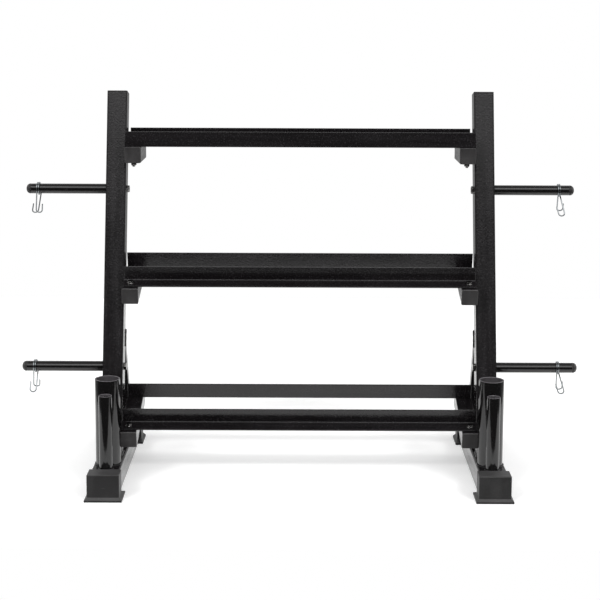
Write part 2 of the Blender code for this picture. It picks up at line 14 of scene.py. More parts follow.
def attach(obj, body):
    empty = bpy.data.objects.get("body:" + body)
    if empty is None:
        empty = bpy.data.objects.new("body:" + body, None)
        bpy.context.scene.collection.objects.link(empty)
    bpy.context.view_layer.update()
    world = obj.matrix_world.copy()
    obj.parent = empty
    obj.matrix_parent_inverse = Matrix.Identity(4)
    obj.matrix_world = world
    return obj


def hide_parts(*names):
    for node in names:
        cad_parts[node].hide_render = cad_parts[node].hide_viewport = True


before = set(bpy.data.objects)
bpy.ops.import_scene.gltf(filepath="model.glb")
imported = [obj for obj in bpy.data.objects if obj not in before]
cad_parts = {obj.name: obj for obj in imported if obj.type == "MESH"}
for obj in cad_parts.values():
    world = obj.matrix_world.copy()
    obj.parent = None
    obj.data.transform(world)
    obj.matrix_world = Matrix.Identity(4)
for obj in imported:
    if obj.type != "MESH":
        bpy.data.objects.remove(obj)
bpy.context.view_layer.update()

bl_info = {
    "name": "Weight storage rack",
    "version": (1, 0, 0),
    "blender": (4, 5, 0),
    "location": "View3D > Sidebar > Rack",
    "description": "Finishes and fine pieces of a three-tier dumbbell rack with plate pegs and bar holders",
    "category": "Object",
}

SIDES = {"left": -1, "right": 1}
LEVELS = {"top": 0.0, "middle": math.radians(15), "bottom": math.radians(15)}
ROWS = ("front", "rear")
HEIGHTS = ("upper", "lower")
UPRIGHT_LEAN = math.radians(13.5)
# Gap between a peg and its cap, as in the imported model
CLEAR = 0.0003
# How far the narrow tube of a bar holder sinks into the wide one
HOLDER_WELD = 0.0006
# Points of a CAD node this close to a face are taken to lie on it
NEAR = 0.0015
# How far the middle of a weld bead stands out from the corner that it fills
BEAD_RISE = 0.0004


def cad_points(node, turn=0.0):
    """The points of a CAD node, in axes turned about X by an angle."""
    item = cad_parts[node]
    back = Matrix.Rotation(-turn, 3, "X")
    return [back @ (item.matrix_world @ corner.co) for corner in item.data.vertices]


def span(spots, axis):
    """The lowest and highest place of points on an axis."""
    return min(spot[axis] for spot in spots), max(spot[axis] for spot in spots)


def cad_box(node, turn=0.0):
    """Lowest and highest corner of a CAD node, in axes turned about X by an angle."""
    spots = cad_points(node, turn)
    return Vector(map(min, *spots)), Vector(map(max, *spots))


class RackSizes(bpy.types.PropertyGroup):
    holder_wall: FloatProperty(
        name="Holder wall", description="Wall thickness of the bar holders",
        default=0.003, min=0.001, unit="LENGTH")
    narrow_wall: FloatProperty(
        name="Narrow holder wall", description="Wall thickness of the narrow bar holders",
        default=0.002, min=0.001, unit="LENGTH")
    holder_rim: FloatProperty(
        name="Holder rim", description="Radius that the bar holders' rims are rounded with",
        default=0.0007, min=0.0002, unit="LENGTH")
    bead_size: FloatProperty(
        name="Weld bead", description="Radius of the weld beads",
        default=0.0026, min=0.0005, unit="LENGTH")
    bead_ripple: FloatProperty(
        name="Weld ripple", description="Distance between two ripples of a weld bead",
        default=0.0022, min=0.0005, unit="LENGTH")
    washer: FloatProperty(
        name="Washer", description="Thickness of the washers under the shelf bolts' heads",
        default=0.0014, min=0.0002, unit="LENGTH")
    wire: FloatProperty(
        name="Clip wire", description="Diameter of the spring clips' wire",
        default=0.0031, min=0.001, unit="LENGTH")
    coil_play: FloatProperty(
        name="Coil play", description="Gap between a spring clip's coil and its peg",
        default=0.0010, min=0.0001, unit="LENGTH")


class RackColours(bpy.types.PropertyGroup):
    powder: FloatVectorProperty(
        name="Powder coat", description="Colour of the frame's powder coat",
        default=(0.0050, 0.0042, 0.0047), subtype="COLOR", min=0, max=1)
    powder_grain: FloatVectorProperty(
        name="Powder grain", description="Colour of the lighter grains in the powder coat",
        default=(0.030, 0.028, 0.030), subtype="COLOR", min=0, max=1)
    gloss: FloatVectorProperty(
        name="Gloss coat", description="Colour of the pegs' and bar holders' smooth coat",
        default=(0.0018, 0.0015, 0.0016), subtype="COLOR", min=0, max=1)
    foot: FloatVectorProperty(
        name="Foot plastic", description="Colour of the foot caps",
        default=(0.0034, 0.0030, 0.0032), subtype="COLOR", min=0, max=1)
    plug: FloatVectorProperty(
        name="End cap plastic", description="Colour of the end caps of arms, uprights and pegs",
        default=(0.024, 0.0228, 0.0232), subtype="COLOR", min=0, max=1)
    fastener: FloatVectorProperty(
        name="Fasteners", description="Colour of the bolts, nuts and washers",
        default=(0.050, 0.049, 0.048), subtype="COLOR", min=0, max=1)
    wire: FloatVectorProperty(
        name="Chrome", description="Colour of the spring clips",
        default=(0.30, 0.32, 0.33), subtype="COLOR", min=0, max=1)
    powder_roughness: FloatProperty(
        name="Powder roughness", description="How blurred the powder coat's reflections are",
        default=0.16, min=0, max=1, subtype="FACTOR")
    gloss_roughness: FloatProperty(
        name="Gloss roughness", description="How blurred the smooth coat's reflections are",
        default=0.10, min=0, max=1, subtype="FACTOR")
    peg_roughness: FloatProperty(
        name="Peg roughness", description="How blurred the plate pegs' reflections are",
        default=0.13, min=0, max=1, subtype="FACTOR")


class RackStage(bpy.types.PropertyGroup):
    camera_place: FloatVectorProperty(
        name="Camera", description="Where the camera stands",
        default=(0.0, -3.65, 1.15), subtype="XYZ", unit="LENGTH")
    camera_turn: FloatVectorProperty(
        name="Camera turn", description="Camera angles: down from level, to the right, and roll",
        default=(math.radians(7.477), math.radians(-0.007), math.radians(0.218)),
        subtype="EULER", unit="ROTATION")
    camera_lens: FloatProperty(
        name="Lens", description="Focal length in millimetres for a 36 mm sensor",
        default=89.559, min=1)
    camera_shift: FloatProperty(
        name="Shift", description="Vertical shift of the lens, in frame widths",
        default=-0.16)
    key_power: FloatProperty(
        name="Key lights", description="Power of each of the two lights above the front corners",
        default=260, min=0, unit="POWER")
    room: FloatProperty(
        name="Room light", description="Brightness of the room's light from above",
        default=1.8, min=0)
    strip: FloatProperty(
        name="Strip light", description="Brightness of the long strip high in front of the rack",
        default=3.2, min=0)
    floor_glow: FloatProperty(
        name="Floor white", description="White that the camera sees added to the floor's lit colour",
        default=0.335, min=0)


class Number:
    """A value in a material's nodes. Sums, differences and products of it add Math nodes."""

    def __init__(self, nodes, socket):
        self.nodes = nodes
        self.socket = socket

    def maths(self, operation, *values):
        return self.nodes.node("ShaderNodeMath", {"operation": operation}, dict(enumerate(values)))

    def __add__(self, other):
        return self.maths("ADD", self, other)

    def __radd__(self, other):
        return self.maths("ADD", other, self)

    def __sub__(self, other):
        return self.maths("SUBTRACT", self, other)

    def __rsub__(self, other):
        return self.maths("SUBTRACT", other, self)

    def __mul__(self, other):
        return self.maths("MULTIPLY", self, other)

    def __rmul__(self, other):
        return self.maths("MULTIPLY", other, self)

    def most(self, other):
        """The larger of two values."""
        return self.maths("MAXIMUM", self, other)

    def beside(self, output):
        """Another output of the node that gives this value."""
        return Number(self.nodes, self.socket.node.outputs[output])

    def step(self, low, high):
        """0 below low and 1 above high, with a smooth rise between them."""
        return self.nodes.node("ShaderNodeMapRange", {"interpolation_type": "SMOOTHSTEP"},
                               {"Value": self, "From Min": low, "From Max": high})


class Nodes:
    """The nodes of one material or world."""

    def __init__(self, owner):
        self.owner = owner
        owner.use_nodes = True
        self.tree = owner.node_tree
        self.tree.nodes.clear()

    def node(self, kind, settings=None, values=None, output=0):
        """Add a node: its settings first, then the values or links of its sockets."""
        made = self.tree.nodes.new(kind)
        for key, value in (settings or {}).items():
            setattr(made, key, value)
        for key, value in (values or {}).items():
            if isinstance(value, Number):
                self.tree.links.new(value.socket, made.inputs[key])
            else:
                made.inputs[key].default_value = value
        return Number(self, made.outputs[output] if made.outputs else None)

    def blend(self, amount, first, second):
        """A colour between two colours."""
        return self.node("ShaderNodeMix", {"data_type": "RGBA"},
                         {0: amount, 6: self.colour(first), 7: self.colour(second)}, output=2)

    @staticmethod
    def colour(value):
        """A link as it is, or a colour with its alpha."""
        return value if isinstance(value, Number) else (*value, 1.0)


class Finish(Nodes):
    """A material with one Principled shader, whose patterns are measured in metres on the object."""

    def __init__(self, name):
        super().__init__(bpy.data.materials.new(name))
        self.place = self.node("ShaderNodeTexCoord", output="Object")

    def noise(self, size, detail=2.0, rough=0.5, stretch=None, shift=0.0):
        """Noise from 0 to 1 whose features are about a size across, in metres."""
        place = self.place
        if stretch or shift:
            place = self.node("ShaderNodeMapping", None, {
                "Vector": place, "Location": [shift] * 3, "Scale": stretch or (1, 1, 1)})
        return self.node("ShaderNodeTexNoise", None, {
            "Vector": place, "Scale": 1 / size, "Detail": detail, "Roughness": rough})

    def rounded(self, radius):
        """The surface's normal, with edges shaded as if they were rounded with a radius."""
        return self.node("ShaderNodeBevel", {"samples": 6}, {"Radius": radius})

    def dot(self, first, second):
        """The dot product of two vectors."""
        return self.node("ShaderNodeVectorMath", {"operation": "DOT_PRODUCT"}, {0: first, 1: second},
                         output="Value")

    def edges(self, rounded):
        """1 along edges and 0 on flat faces, from a rounded normal."""
        true = self.node("ShaderNodeNewGeometry", output="Normal")
        return (1 - self.dot(rounded, true)).step(0.01, 0.22)

    def inward(self):
        """1 where a face turned about the object's Z axis looks at that axis."""
        normal = self.node("ShaderNodeTexCoord", output="Normal")
        spoke = self.node("ShaderNodeVectorMath", {"operation": "MULTIPLY"}, {0: self.place, 1: (1, 1, 0)})
        return (0 - self.dot(spoke, normal)).step(0.002, 0.006)

    def upward(self, low, high):
        """1 on faces that look along the object's Z axis, from the share of Z in their normal."""
        normal = self.node("ShaderNodeTexCoord", output="Normal")
        return self.node("ShaderNodeSeparateXYZ", None, {"Vector": normal}, output="Z").step(low, high)

    def bump(self, height, depth, normal=None):
        """The surface's normal, or another one, with a relief of a depth in metres."""
        values = {"Height": height, "Distance": depth}
        if normal:
            values["Normal"] = normal
        return self.node("ShaderNodeBump", None, values)

    def finish(self, slot, **values):
        """Close the material with its Principled shader; names are the shader's sockets."""
        sockets = {key.replace("_", " ").title().replace("Ior", "IOR"): value
                   for key, value in values.items()}
        shader = self.node("ShaderNodeBsdfPrincipled", None, sockets, output="BSDF")
        self.node("ShaderNodeOutputMaterial", None, {"Surface": shader})
        self.owner["slot"] = slot
        return self.owner


def scaled(colour, times, white=0.0):
    """A colour times a number, plus some white."""
    return tuple(min(1.0, times * part + white) for part in colour)


def powder_coat(name, colours, depth, grains, corner, along):
    """Satin black powder coat: an orange-peel skin with pale grains, and faint bands along the tube."""
    coat = Finish(name)
    peel = coat.noise(0.0036, 2.0, 0.60)
    band = coat.noise(0.014, 2.0, 0.5, stretch=along, shift=5.3)
    fine = coat.noise(0.0022, 2.0, 0.60, shift=3.1)
    cloud = coat.noise(0.11, 3.0, 0.55, shift=7.7)
    grain = coat.noise(0.0034, 2.0, 0.6, shift=1.9).step(0.54, 0.68)
    rounded = coat.rounded(corner)
    edge = coat.edges(rounded)
    tone = coat.blend(grain * grains + (band - 0.4) * 0.5 + cloud.step(0.35, 0.75) * 0.10 + edge * 0.10,
                      tuple(colours.powder), tuple(colours.powder_grain))
    rough = (colours.powder_roughness + (peel - 0.5) * 0.30 + (band - 0.5) * 0.22 + (cloud - 0.5) * 0.14
             + grain * 0.04)
    return coat.finish("powder_coat", base_color=tone, roughness=rough,
                       normal=coat.bump(peel * 0.7 + fine * 0.3, depth, rounded))


def gloss_coat(name, colours, roughness, depth):
    """Smooth, deep black coat with a faint long wave and a little dust, duller on inner faces; inner faces
    are painted lighter as painted light inside the tube, and upward faces and edges carry a painted
    highlight.
    """
    coat = Finish(name)
    inside = coat.inward()
    wave = coat.noise(0.016, 1.0, 0.4)
    fine = coat.noise(0.0016, 2.0, 0.6, shift=2.3)
    dust_and_painted_top_light = coat.noise(0.0021, 0.0, 0.5, shift=5.1).step(0.74, 0.80)
    rub = coat.noise(0.045, 3.0, 0.6, stretch=(1, 1, 0.35), shift=8.4)
    rounded = coat.rounded(0.0018)
    # This lighter colour serves the dust spots, and also the painted light on inner faces and the painted
    # highlight on upward faces and edges
    dust_and_painted_light = scaled(colours.powder_grain, 5)
    # Dust spots, and inner faces painted lighter: painted light falling inside the tube
    tone = coat.blend((dust_and_painted_top_light * 0.2).most(inside * rub * 0.7), tuple(colours.gloss), dust_and_painted_light)
    # Upward faces and edges painted lighter: a painted highlight on the rims and ends
    tone = coat.blend(coat.upward(0.3, 0.8).most(coat.edges(rounded) * 0.9), tone, dust_and_painted_light)
    rough = roughness + rub.step(0.45, 0.8) * 0.05 + dust_and_painted_top_light * 0.05 + (fine - 0.5) * 0.02 + inside * 0.2
    return coat.finish("gloss_coat", base_color=tone, roughness=rough, specular_ior_level=0.62,
                       normal=coat.bump(wave * 0.75 + fine * 0.25, depth, rounded))


def moulded_plastic(name, slot, colour, roughness, grain):
    """Matte moulded plastic: a fine eroded grain, soft flow clouds and faint scuffs, with upward faces
    painted lighter as painted light from above and edges painted lighter as a painted highlight.
    """
    skin = Finish(name)
    fine = skin.noise(grain, 2.0, 0.65)
    flow = skin.noise(0.035, 2.0, 0.5, stretch=(1, 1, 0.5), shift=4.2)
    scuff = skin.noise(0.010, 4.0, 0.7, stretch=(0.25, 1, 2.2), shift=9.6).step(0.60, 0.74)
    rounded = skin.rounded(0.0026)
    edge = skin.edges(rounded)
    # Upward faces painted lighter: painted light from above
    dust_and_painted_top_light = skin.upward(0.10, 0.60) * (0.55 + fine * 0.5)
    lighter = scaled(colour, 2.2, white=0.045)
    # Edges are painted lighter as a painted highlight, and upward faces as painted light from above
    tone = skin.blend((fine - 0.5) * 0.5 + (flow - 0.42) * 0.8 + scuff * 0.3 + (edge * 0.9).most(dust_and_painted_top_light),
                      tuple(colour), lighter)
    rough = roughness + (fine - 0.5) * 0.20 - scuff * 0.10 + (flow - 0.5) * 0.30
    return skin.finish(slot, base_color=tone, roughness=rough, specular_ior_level=0.36,
                       normal=skin.bump(fine, 0.00022, rounded))


def dark_fastener(colours):
    """Blackened steel of bolts and nuts, with bright patches of bare metal, and bright along its edges partly
    from wear and partly as painted glints.
    """
    steel = Finish("rack_fastener")
    mottle = steel.noise(0.0032, 3.0, 0.6)
    fine = steel.noise(0.0007, 2.0, 0.6, shift=6.3)
    rounded = steel.rounded(0.0012)
    edge = steel.edges(rounded)
    bright = scaled(colours.fastener, 17)
    # Edges painted bright: partly wear, partly painted glints; the patches of bare metal fall at random
    tone = steel.blend(edge * 0.9 + mottle.step(0.47, 0.60) * 0.45, tuple(colours.fastener), bright)
    rough = 0.12 + (mottle - 0.5) * 0.10
    return steel.finish("fastener", base_color=tone, metallic=1.0, roughness=rough,
                        normal=steel.bump(fine, 0.00005, rounded))


def spring_chrome(colours):
    """Bright plated wire with fine draw marks and a few dull spots."""
    wire = Finish("rack_spring_chrome")
    draw = wire.noise(0.0009, 3.0, 0.6)
    dull = wire.noise(0.0055, 3.0, 0.6, shift=2.7).step(0.56, 0.76)
    dim = scaled(colours.wire, 0.55)
    tone = wire.blend(dull * 0.35, tuple(colours.wire), dim)
    rough = 0.07 + dull * 0.16 + (draw - 0.5) * 0.05
    return wire.finish("spring_wire", base_color=tone, metallic=1.0, roughness=rough,
                       normal=wire.bump(draw, 0.00003))


FINISH_MAKERS = {
    "powder_coat": lambda colours: powder_coat(
        "rack_powder_coat", colours, depth=0.00026, grains=0.45, corner=0.0028, along=(1, 0.06, 1)),
    "rail_coat": lambda colours: powder_coat(
        "rack_rail_coat", colours, depth=0.00022, grains=0.55, corner=0.0028, along=(0.06, 1, 1)),
    "upright_coat": lambda colours: powder_coat(
        "rack_upright_coat", colours, depth=0.00036, grains=0.36, corner=0.0048, along=(1, 0.06, 0.06)),
    "gloss_coat": lambda colours: gloss_coat(
        "rack_gloss_coat", colours, colours.gloss_roughness, depth=0.00010),
    "peg_coat": lambda colours: gloss_coat(
        "rack_peg_coat", colours, colours.peg_roughness, depth=0.000006),
    "foot_plastic": lambda colours: moulded_plastic(
        "rack_foot_plastic", "foot_plastic", colours.foot, roughness=0.46, grain=0.0024),
    "arm_plastic": lambda colours: moulded_plastic(
        "rack_arm_plastic", "foot_plastic", colours.plug, roughness=0.50, grain=0.0013),
    "cap_plastic": lambda colours: moulded_plastic(
        "rack_cap_plastic", "cap_plastic", scaled(colours.plug, 0.45), roughness=0.36, grain=0.0013),
    "fastener": dark_fastener,
    "spring_wire": spring_chrome,
}
made_finishes = {}


def finish_named(name):
    """A finish by name, made when it is first asked for."""
    if name not in made_finishes:
        made_finishes[name] = FINISH_MAKERS[name](bpy.context.scene.rack_colours)
    return made_finishes[name]


def mesh_from(bm, name, smooth_below=35.0):
    """A mesh whose faces are smooth but for edges sharper than an angle in degrees."""
    bmesh.ops.recalc_face_normals(bm, faces=bm.faces)
    mesh = bpy.data.meshes.new(name)
    bm.to_mesh(mesh)
    bm.free()
    mesh.shade_smooth()
    mesh.set_sharp_from_angle(angle=math.radians(smooth_below))
    return mesh


def add_piece(name, mesh, finish, body="rack", place=None, stands_for=()):
    """Put a piece in the scene, on a body, in place of CAD nodes."""
    piece = bpy.data.objects.new(name, mesh)
    bpy.context.scene.collection.objects.link(piece)
    if place is not None:
        piece.matrix_world = place
    material = finish_named(finish)
    if not mesh.materials:
        mesh.materials.append(material)
    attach(piece, body)
    if stands_for:
        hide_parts(*stands_for)


def loft(bm, rings, closed=False):
    """Faces between rings of points that have equal counts. Unless closed, the end rings are filled."""
    made = [[bm.verts.new(point) for point in ring] for ring in rings]
    for low, high in zip(made, made[1:] + made[:1] if closed else made[1:]):
        for index in range(len(low)):
            after = (index + 1) % len(low)
            bm.faces.new((low[index], low[after], high[after], high[index]))
    if not closed:
        bm.faces.new(list(reversed(made[0])))
        bm.faces.new(made[-1])


def even_turns(steps):
    """Angles at even steps round a circle."""
    return [2 * math.pi * step / steps for step in range(steps)]


def turn_profile(bm, profile, steps, closed=False):
    """Turn (radius, height) points about Z."""
    loft(bm, [[(radius * math.cos(turn), radius * math.sin(turn), height) for turn in even_turns(steps)]
              for radius, height in profile], closed=closed)


def turned(name, profile, steps, closed=True):
    """A mesh turned about Z. A closed profile meets itself, and the ends of an open one are filled."""
    bm = bmesh.new()
    turn_profile(bm, profile, steps, closed)
    return mesh_from(bm, name)


def arc(centre, radius, start, end, steps=6):
    """Points on an arc of a profile, with angles in degrees."""
    turns = [math.radians(start + (end - start) * step / steps) for step in range(steps + 1)]
    return [(centre[0] + radius * math.cos(turn), centre[1] + radius * math.sin(turn)) for turn in turns]


def hex_rings(across, low, high, chamfer_low=False):
    """Rings of a hexagon with a chamfered upper end, and a lower one if asked, for loft."""
    def reach(turn):
        return across / 2 / math.cos((turn + math.pi / 6) % (math.pi / 3) - math.pi / 6)

    turns = even_turns(48)
    flat = across / 2 * 0.955
    slope = math.tan(math.radians(28))
    rings = []
    for height, chamfer, way in ((low, chamfer_low, 1), (high, True, -1)):
        edge = [(reach(turn) * math.cos(turn), reach(turn) * math.sin(turn),
                 height + way * ((reach(turn) - flat) * slope if chamfer else 0)) for turn in turns]
        face = [(flat * math.cos(turn), flat * math.sin(turn), height) for turn in turns]
        rings += [face, edge] if way == 1 else [edge, face]
    return rings


def along_path(points, step):
    """Points at even steps along a path."""
    spots, kept = [points[0]], 0.0
    for first, second in zip(points, points[1:]):
        length = (second - first).length
        place = step - kept
        while place <= length:
            spots.append(first.lerp(second, place / length))
            place += step
        kept = length - (place - step)
    return spots


def sweep(bm, points, radii, sides, closed=False):
    """A round section swept along points, turning as little as it can."""
    count = len(points)
    rings, across = [], None
    for index, point in enumerate(points):
        before = points[index - 1] if closed or index else point
        after = points[(index + 1) % count] if closed or index < count - 1 else point
        ahead = (after - before).normalized()
        if across is None:
            across = ahead.orthogonal().normalized()
        across = (across - ahead * across.dot(ahead)).normalized()
        other = ahead.cross(across)
        rings.append([point + radii[index] * (math.cos(turn) * across + math.sin(turn) * other)
                      for turn in even_turns(sides)])
    if not closed:
        loft(bm, rings)
        return
    # The section has turned by some sides when it comes back to the start
    shift = min(range(sides), key=lambda side: (rings[-1][side] - rings[0][0]).length)
    made = [[bm.verts.new(point) for point in ring] for ring in rings]
    for low, high, slip in [*((a, b, 0) for a, b in zip(made, made[1:])), (made[-1], made[0], -shift)]:
        for side in range(sides):
            after = (side + 1) % sides
            bm.faces.new((low[side], low[after],
                          high[(after + slip) % sides], high[(side + slip) % sides]))


def weld_bead(name, corners, sizes, seed, closed=True):
    """A rippled bead of weld along a path of corners."""
    ripple_steps, swell_steps = 4, 9
    step = sizes.bead_ripple / ripple_steps
    path = along_path([*corners, corners[0]] if closed else corners, step)
    if closed and (path[0] - path[-1]).length < step / 2:
        path.pop()
    chance = random.Random(seed)
    swell = [chance.uniform(-0.12, 0.12) for _ in range(len(path) // swell_steps + 3)]
    radii = []
    for index in range(len(path)):
        ripple = 0.10 * abs(math.sin(math.pi * index / ripple_steps))
        spot = index / swell_steps
        low, high = swell[int(spot)], swell[int(spot) + 1]
        radii.append(sizes.bead_size * (0.90 + ripple + low + (high - low) * (spot % 1)))
    bm = bmesh.new()
    sweep(bm, path, radii, sides=10, closed=closed)
    add_piece(name, mesh_from(bm, name, 60.0), "powder_coat")


def holder_places(side):
    """The radius, the foot's middle and the height of the wide and the narrow tube of a bar holder."""
    low, high = cad_box(f"bar_holder_{side}")
    middle, wide = (low.x + high.x) / 2, (high.x - low.x) / 2
    narrow = (high.y - low.y + HOLDER_WELD) / 2 - wide
    front = [spot.z for spot in cad_points(f"bar_holder_{side}") if spot.y < low.y + narrow]
    return {"wide": (wide, Vector((middle, high.y - wide, low.z)), high.z - low.z),
            "narrow": (narrow, Vector((middle, low.y + narrow, low.z)), max(front) - low.z)}


def make_bar_holders(sizes):
    """The wide and the narrow tube on each side, open from end to end."""
    for side in SIDES:
        for kind, (outer, foot, height) in holder_places(side).items():
            wall = sizes.holder_wall if kind == "wide" else sizes.narrow_wall
            inner = outer - wall
            rim = min(sizes.holder_rim, wall * 0.45)
            profile = [(outer, 0), (outer, height * 0.25), (outer, height * 0.6),
                       *arc((outer - rim, height - rim), rim, 0, 90),
                       *arc((inner + rim, height - rim), rim, 90, 180),
                       (inner, height * 0.6), (inner, height * 0.25), (inner, 0)]
            name = f"bar_holder_{side}_{kind}"
            add_piece(name, turned(name, profile, steps=128), "gloss_coat", place=Matrix.Translation(foot),
                      stands_for=[f"bar_holder_{side}"] if kind == "wide" else ())


def peg_place(low, high, x, sign):
    """Puts a piece's origin on the middle line of a box that lies along X, with its +Z outwards."""
    middle = Vector((x, (low.y + high.y) / 2, (low.z + high.z) / 2))
    return Matrix.Translation(middle) @ Matrix.Rotation(sign * math.pi / 2, 4, "Y")


def make_pegs():
    """The pegs' tubes, closed at the root but for the bolt's bore, and their caps."""
    wall, bolt_bore, bore_depth = 0.0025, 0.0053, 0.020
    root_round, tip_round = 0.0008, 0.0005
    for side, sign in SIDES.items():
        for height in HEIGHTS:
            node = f"plate_peg_{side}_{height}"
            low, high = cad_box(node)
            radius = (high.z - low.z) / 2
            length = high.x - low.x
            root = low.x if sign > 0 else high.x
            inner = radius - wall
            profile = [(bolt_bore, 0), (radius - root_round, 0),
                       *arc((radius - root_round, root_round), root_round, -90, 0, 3), (radius, length * 0.5),
                       *arc((radius - tip_round, length - tip_round), tip_round, 0, 90, 3),
                       (inner, length), (inner, bore_depth), (bolt_bore, bore_depth)]
            add_piece(f"{node}_tube", turned(f"{node}_tube", profile, steps=72), "peg_coat",
                      place=peg_place(low, high, root, sign), stands_for=[node])
            node = f"peg_cap_{side}_{height}"
            cap_low, cap_high = cad_box(node)
            tip = cap_high.x if sign > 0 else cap_low.x
            shoulder = root + sign * (length + CLEAR)
            dome = peg_dome(f"{node}_dome", radius, inner, abs(tip - shoulder))
            add_piece(f"{node}_dome", dome, "cap_plastic", place=peg_place(low, high, shoulder, sign),
                      stands_for=[node])


def peg_dome(name, radius, inner, reach):
    """A peg's cap, with its shoulder at z = 0: a plug for the tube, a short rim and a dome."""
    plug, rim, rim_round, tip_flat = 0.015, 0.0020, 0.0004, 0.0009
    dome = reach - rim
    profile = [(inner - CLEAR, -plug), (inner - CLEAR, 0.0), (radius - rim_round, 0.0),
               (radius, rim_round), (radius, rim)]
    profile += [(radius * math.cos(turn) ** 0.9, rim + dome * math.sin(turn))
                for turn in (math.radians(6 * step) for step in range(1, 15))]
    return turned(name, [*profile, (tip_flat, rim + dome)], steps=72, closed=False)


def clip_path(sizes, radius):
    """A spring clip's middle line about the peg's axis X: two crossing legs with hooks, and the coil."""
    leg, hook, returned, turn_gap = 0.0625, 0.0150, 0.0200, 0.0010
    splay = math.radians(35)
    coil = radius + sizes.coil_play + sizes.wire / 2
    wound = 3 * math.pi + 2 * splay
    length = (sizes.wire + turn_gap) * wound / (2 * math.pi)
    steps = 120
    turns = []
    for share in (step / steps for step in range(steps + 1)):
        angle = wound * share - splay
        turns.append(Vector((length * (0.5 - share), coil * math.cos(angle), coil * math.sin(angle))))
    bend = hook / 2
    legs = []
    for start, slant, side in ((turns[0], math.radians(9), -1), (turns[-1], math.radians(3), 1)):
        down = Vector((math.tan(slant), side * math.sin(splay), -math.cos(splay))).normalized()
        out = Vector((side, 0, 0))
        across = (out - down * down.dot(out)).normalized()
        low = start + down * (leg - bend)
        straight = [start.lerp(low, share / 12) for share in range(1, 12)]
        centre = low + across * bend
        curl = [centre - across * bend * math.cos(turn) + down * bend * math.sin(turn)
                for turn in (math.pi * step / 20 for step in range(21))]
        tail = [curl[-1] - down * returned * share / 6 for share in range(1, 7)]
        legs.append([*straight, *curl, *tail])
    return [*reversed(legs[0]), *turns, *legs[1]]


def eased(points):
    """A path with its kinks eased, its ends kept."""
    for _ in range(3):
        inside = [(a + 2 * b + c) / 4 for a, b, c in zip(points, points[1:], points[2:])]
        points = [points[0], *inside, points[-1]]
    return points


def make_clips(sizes):
    """A wire on each peg, with its ends ground round."""
    # Coil's middle from the cap's tip, turn about the peg, and tilt along it
    seats = {
        "left_upper": (0.031, math.radians(7), math.radians(2)),
        "left_lower": (0.033, math.radians(-4), math.radians(2)),
        "right_upper": (0.038, math.radians(8), math.radians(-2)),
        "right_lower": (0.048, math.radians(-2), math.radians(-2)),
    }
    for seat, (from_tip, turn, tilt) in seats.items():
        sign = SIDES[seat.split("_")[0]]
        low, high = cad_box(f"plate_peg_{seat}")
        cap_low, cap_high = cad_box(f"peg_cap_{seat}")
        tip = cap_high.x if sign > 0 else cap_low.x
        path = along_path(eased(clip_path(sizes, (high.z - low.z) / 2)), 0.0006)
        radii = [sizes.wire / 2] * len(path)
        for index, share in enumerate((0.35, 0.75, 0.93)):
            radii[index] *= share
            radii[-1 - index] *= share
        bm = bmesh.new()
        sweep(bm, path, radii, sides=14)
        middle = Vector((tip - sign * from_tip, (low.y + high.y) / 2, (low.z + high.z) / 2))
        place = (Matrix.Translation(middle) @ Matrix.Rotation(math.pi * (sign < 0), 4, "Z")
                 @ Matrix.Rotation(tilt, 4, "Y") @ Matrix.Rotation(turn, 4, "X"))
        name = f"spring_clip_{seat}_wire"
        add_piece(name, mesh_from(bm, name, 80.0), "spring_wire", body=f"clip_{seat}", place=place,
                  stands_for=[f"spring_clip_{seat}"])


def threads(radius, low, high):
    """Profile points of a threaded end, from low to high."""
    pitch, depth = 0.00125, 0.00055
    count = max(1, round((high - low) / pitch))
    points = []
    for step in range(count):
        base = low + (high - low) * step / count
        points += [(radius - depth, base), (radius, base + pitch * 0.5)]
    return points


def shelf_bolt_mesh(sizes, length):
    """A bolt with its head's top at z = 0: head, washer, shank, lock nut and threaded end."""
    across, head, radius, washer_radius, washer_round = 0.0130, 0.0055, 0.0040, 0.0082, 0.0003
    # The lock nut's collar, hexagon and upper face, from the shank's threaded end up
    nut_low, hexagon_low, nut_high = 0.003 - length, 0.0048 - length, 0.011 - length
    under = sizes.washer - head
    bm = bmesh.new()
    loft(bm, hex_rings(across, under, 0))
    turn_profile(bm, [(washer_radius - 0.0004, -head), (washer_radius, washer_round - head),
                      (washer_radius, under - washer_round), (washer_radius - 0.0004, under)], 48)
    loft(bm, hex_rings(across, hexagon_low, nut_high, chamfer_low=True))
    turn_profile(bm, [(0.0044, nut_low), (0.0052, nut_low + 0.0002), (0.0058, nut_low + 0.0010),
                      (0.0060, nut_low + 0.0022)], 48)
    turn_profile(bm, [(0.0026, -length), (radius - 0.0005, 0.0010 - length),
                      *threads(radius, 0.0011 - length, nut_low),
                      (radius, nut_low), (radius, 0.001 - head)], 32)
    return mesh_from(bm, "shelf_bolt_set", 30.0)


def make_shelf_bolts(sizes):
    """One mesh for all shelf bolts, each turned by a chance angle."""
    mesh = None
    for level, tilt in LEVELS.items():
        for row in ROWS:
            for side in SIDES:
                node = f"shelf_bolt_{level}_{row}_{side}"
                low, high = cad_box(node, tilt)
                mesh = mesh or shelf_bolt_mesh(sizes, high.z - low.z)
                spin = Matrix.Rotation(random.Random(node).uniform(0, math.pi / 3), 4, "Z")
                top = Matrix.Translation(((low.x + high.x) / 2, (low.y + high.y) / 2, high.z))
                add_piece(f"{node}_set", mesh, "fastener", stands_for=[node],
                          place=Matrix.Rotation(tilt, 4, "X") @ top @ spin)


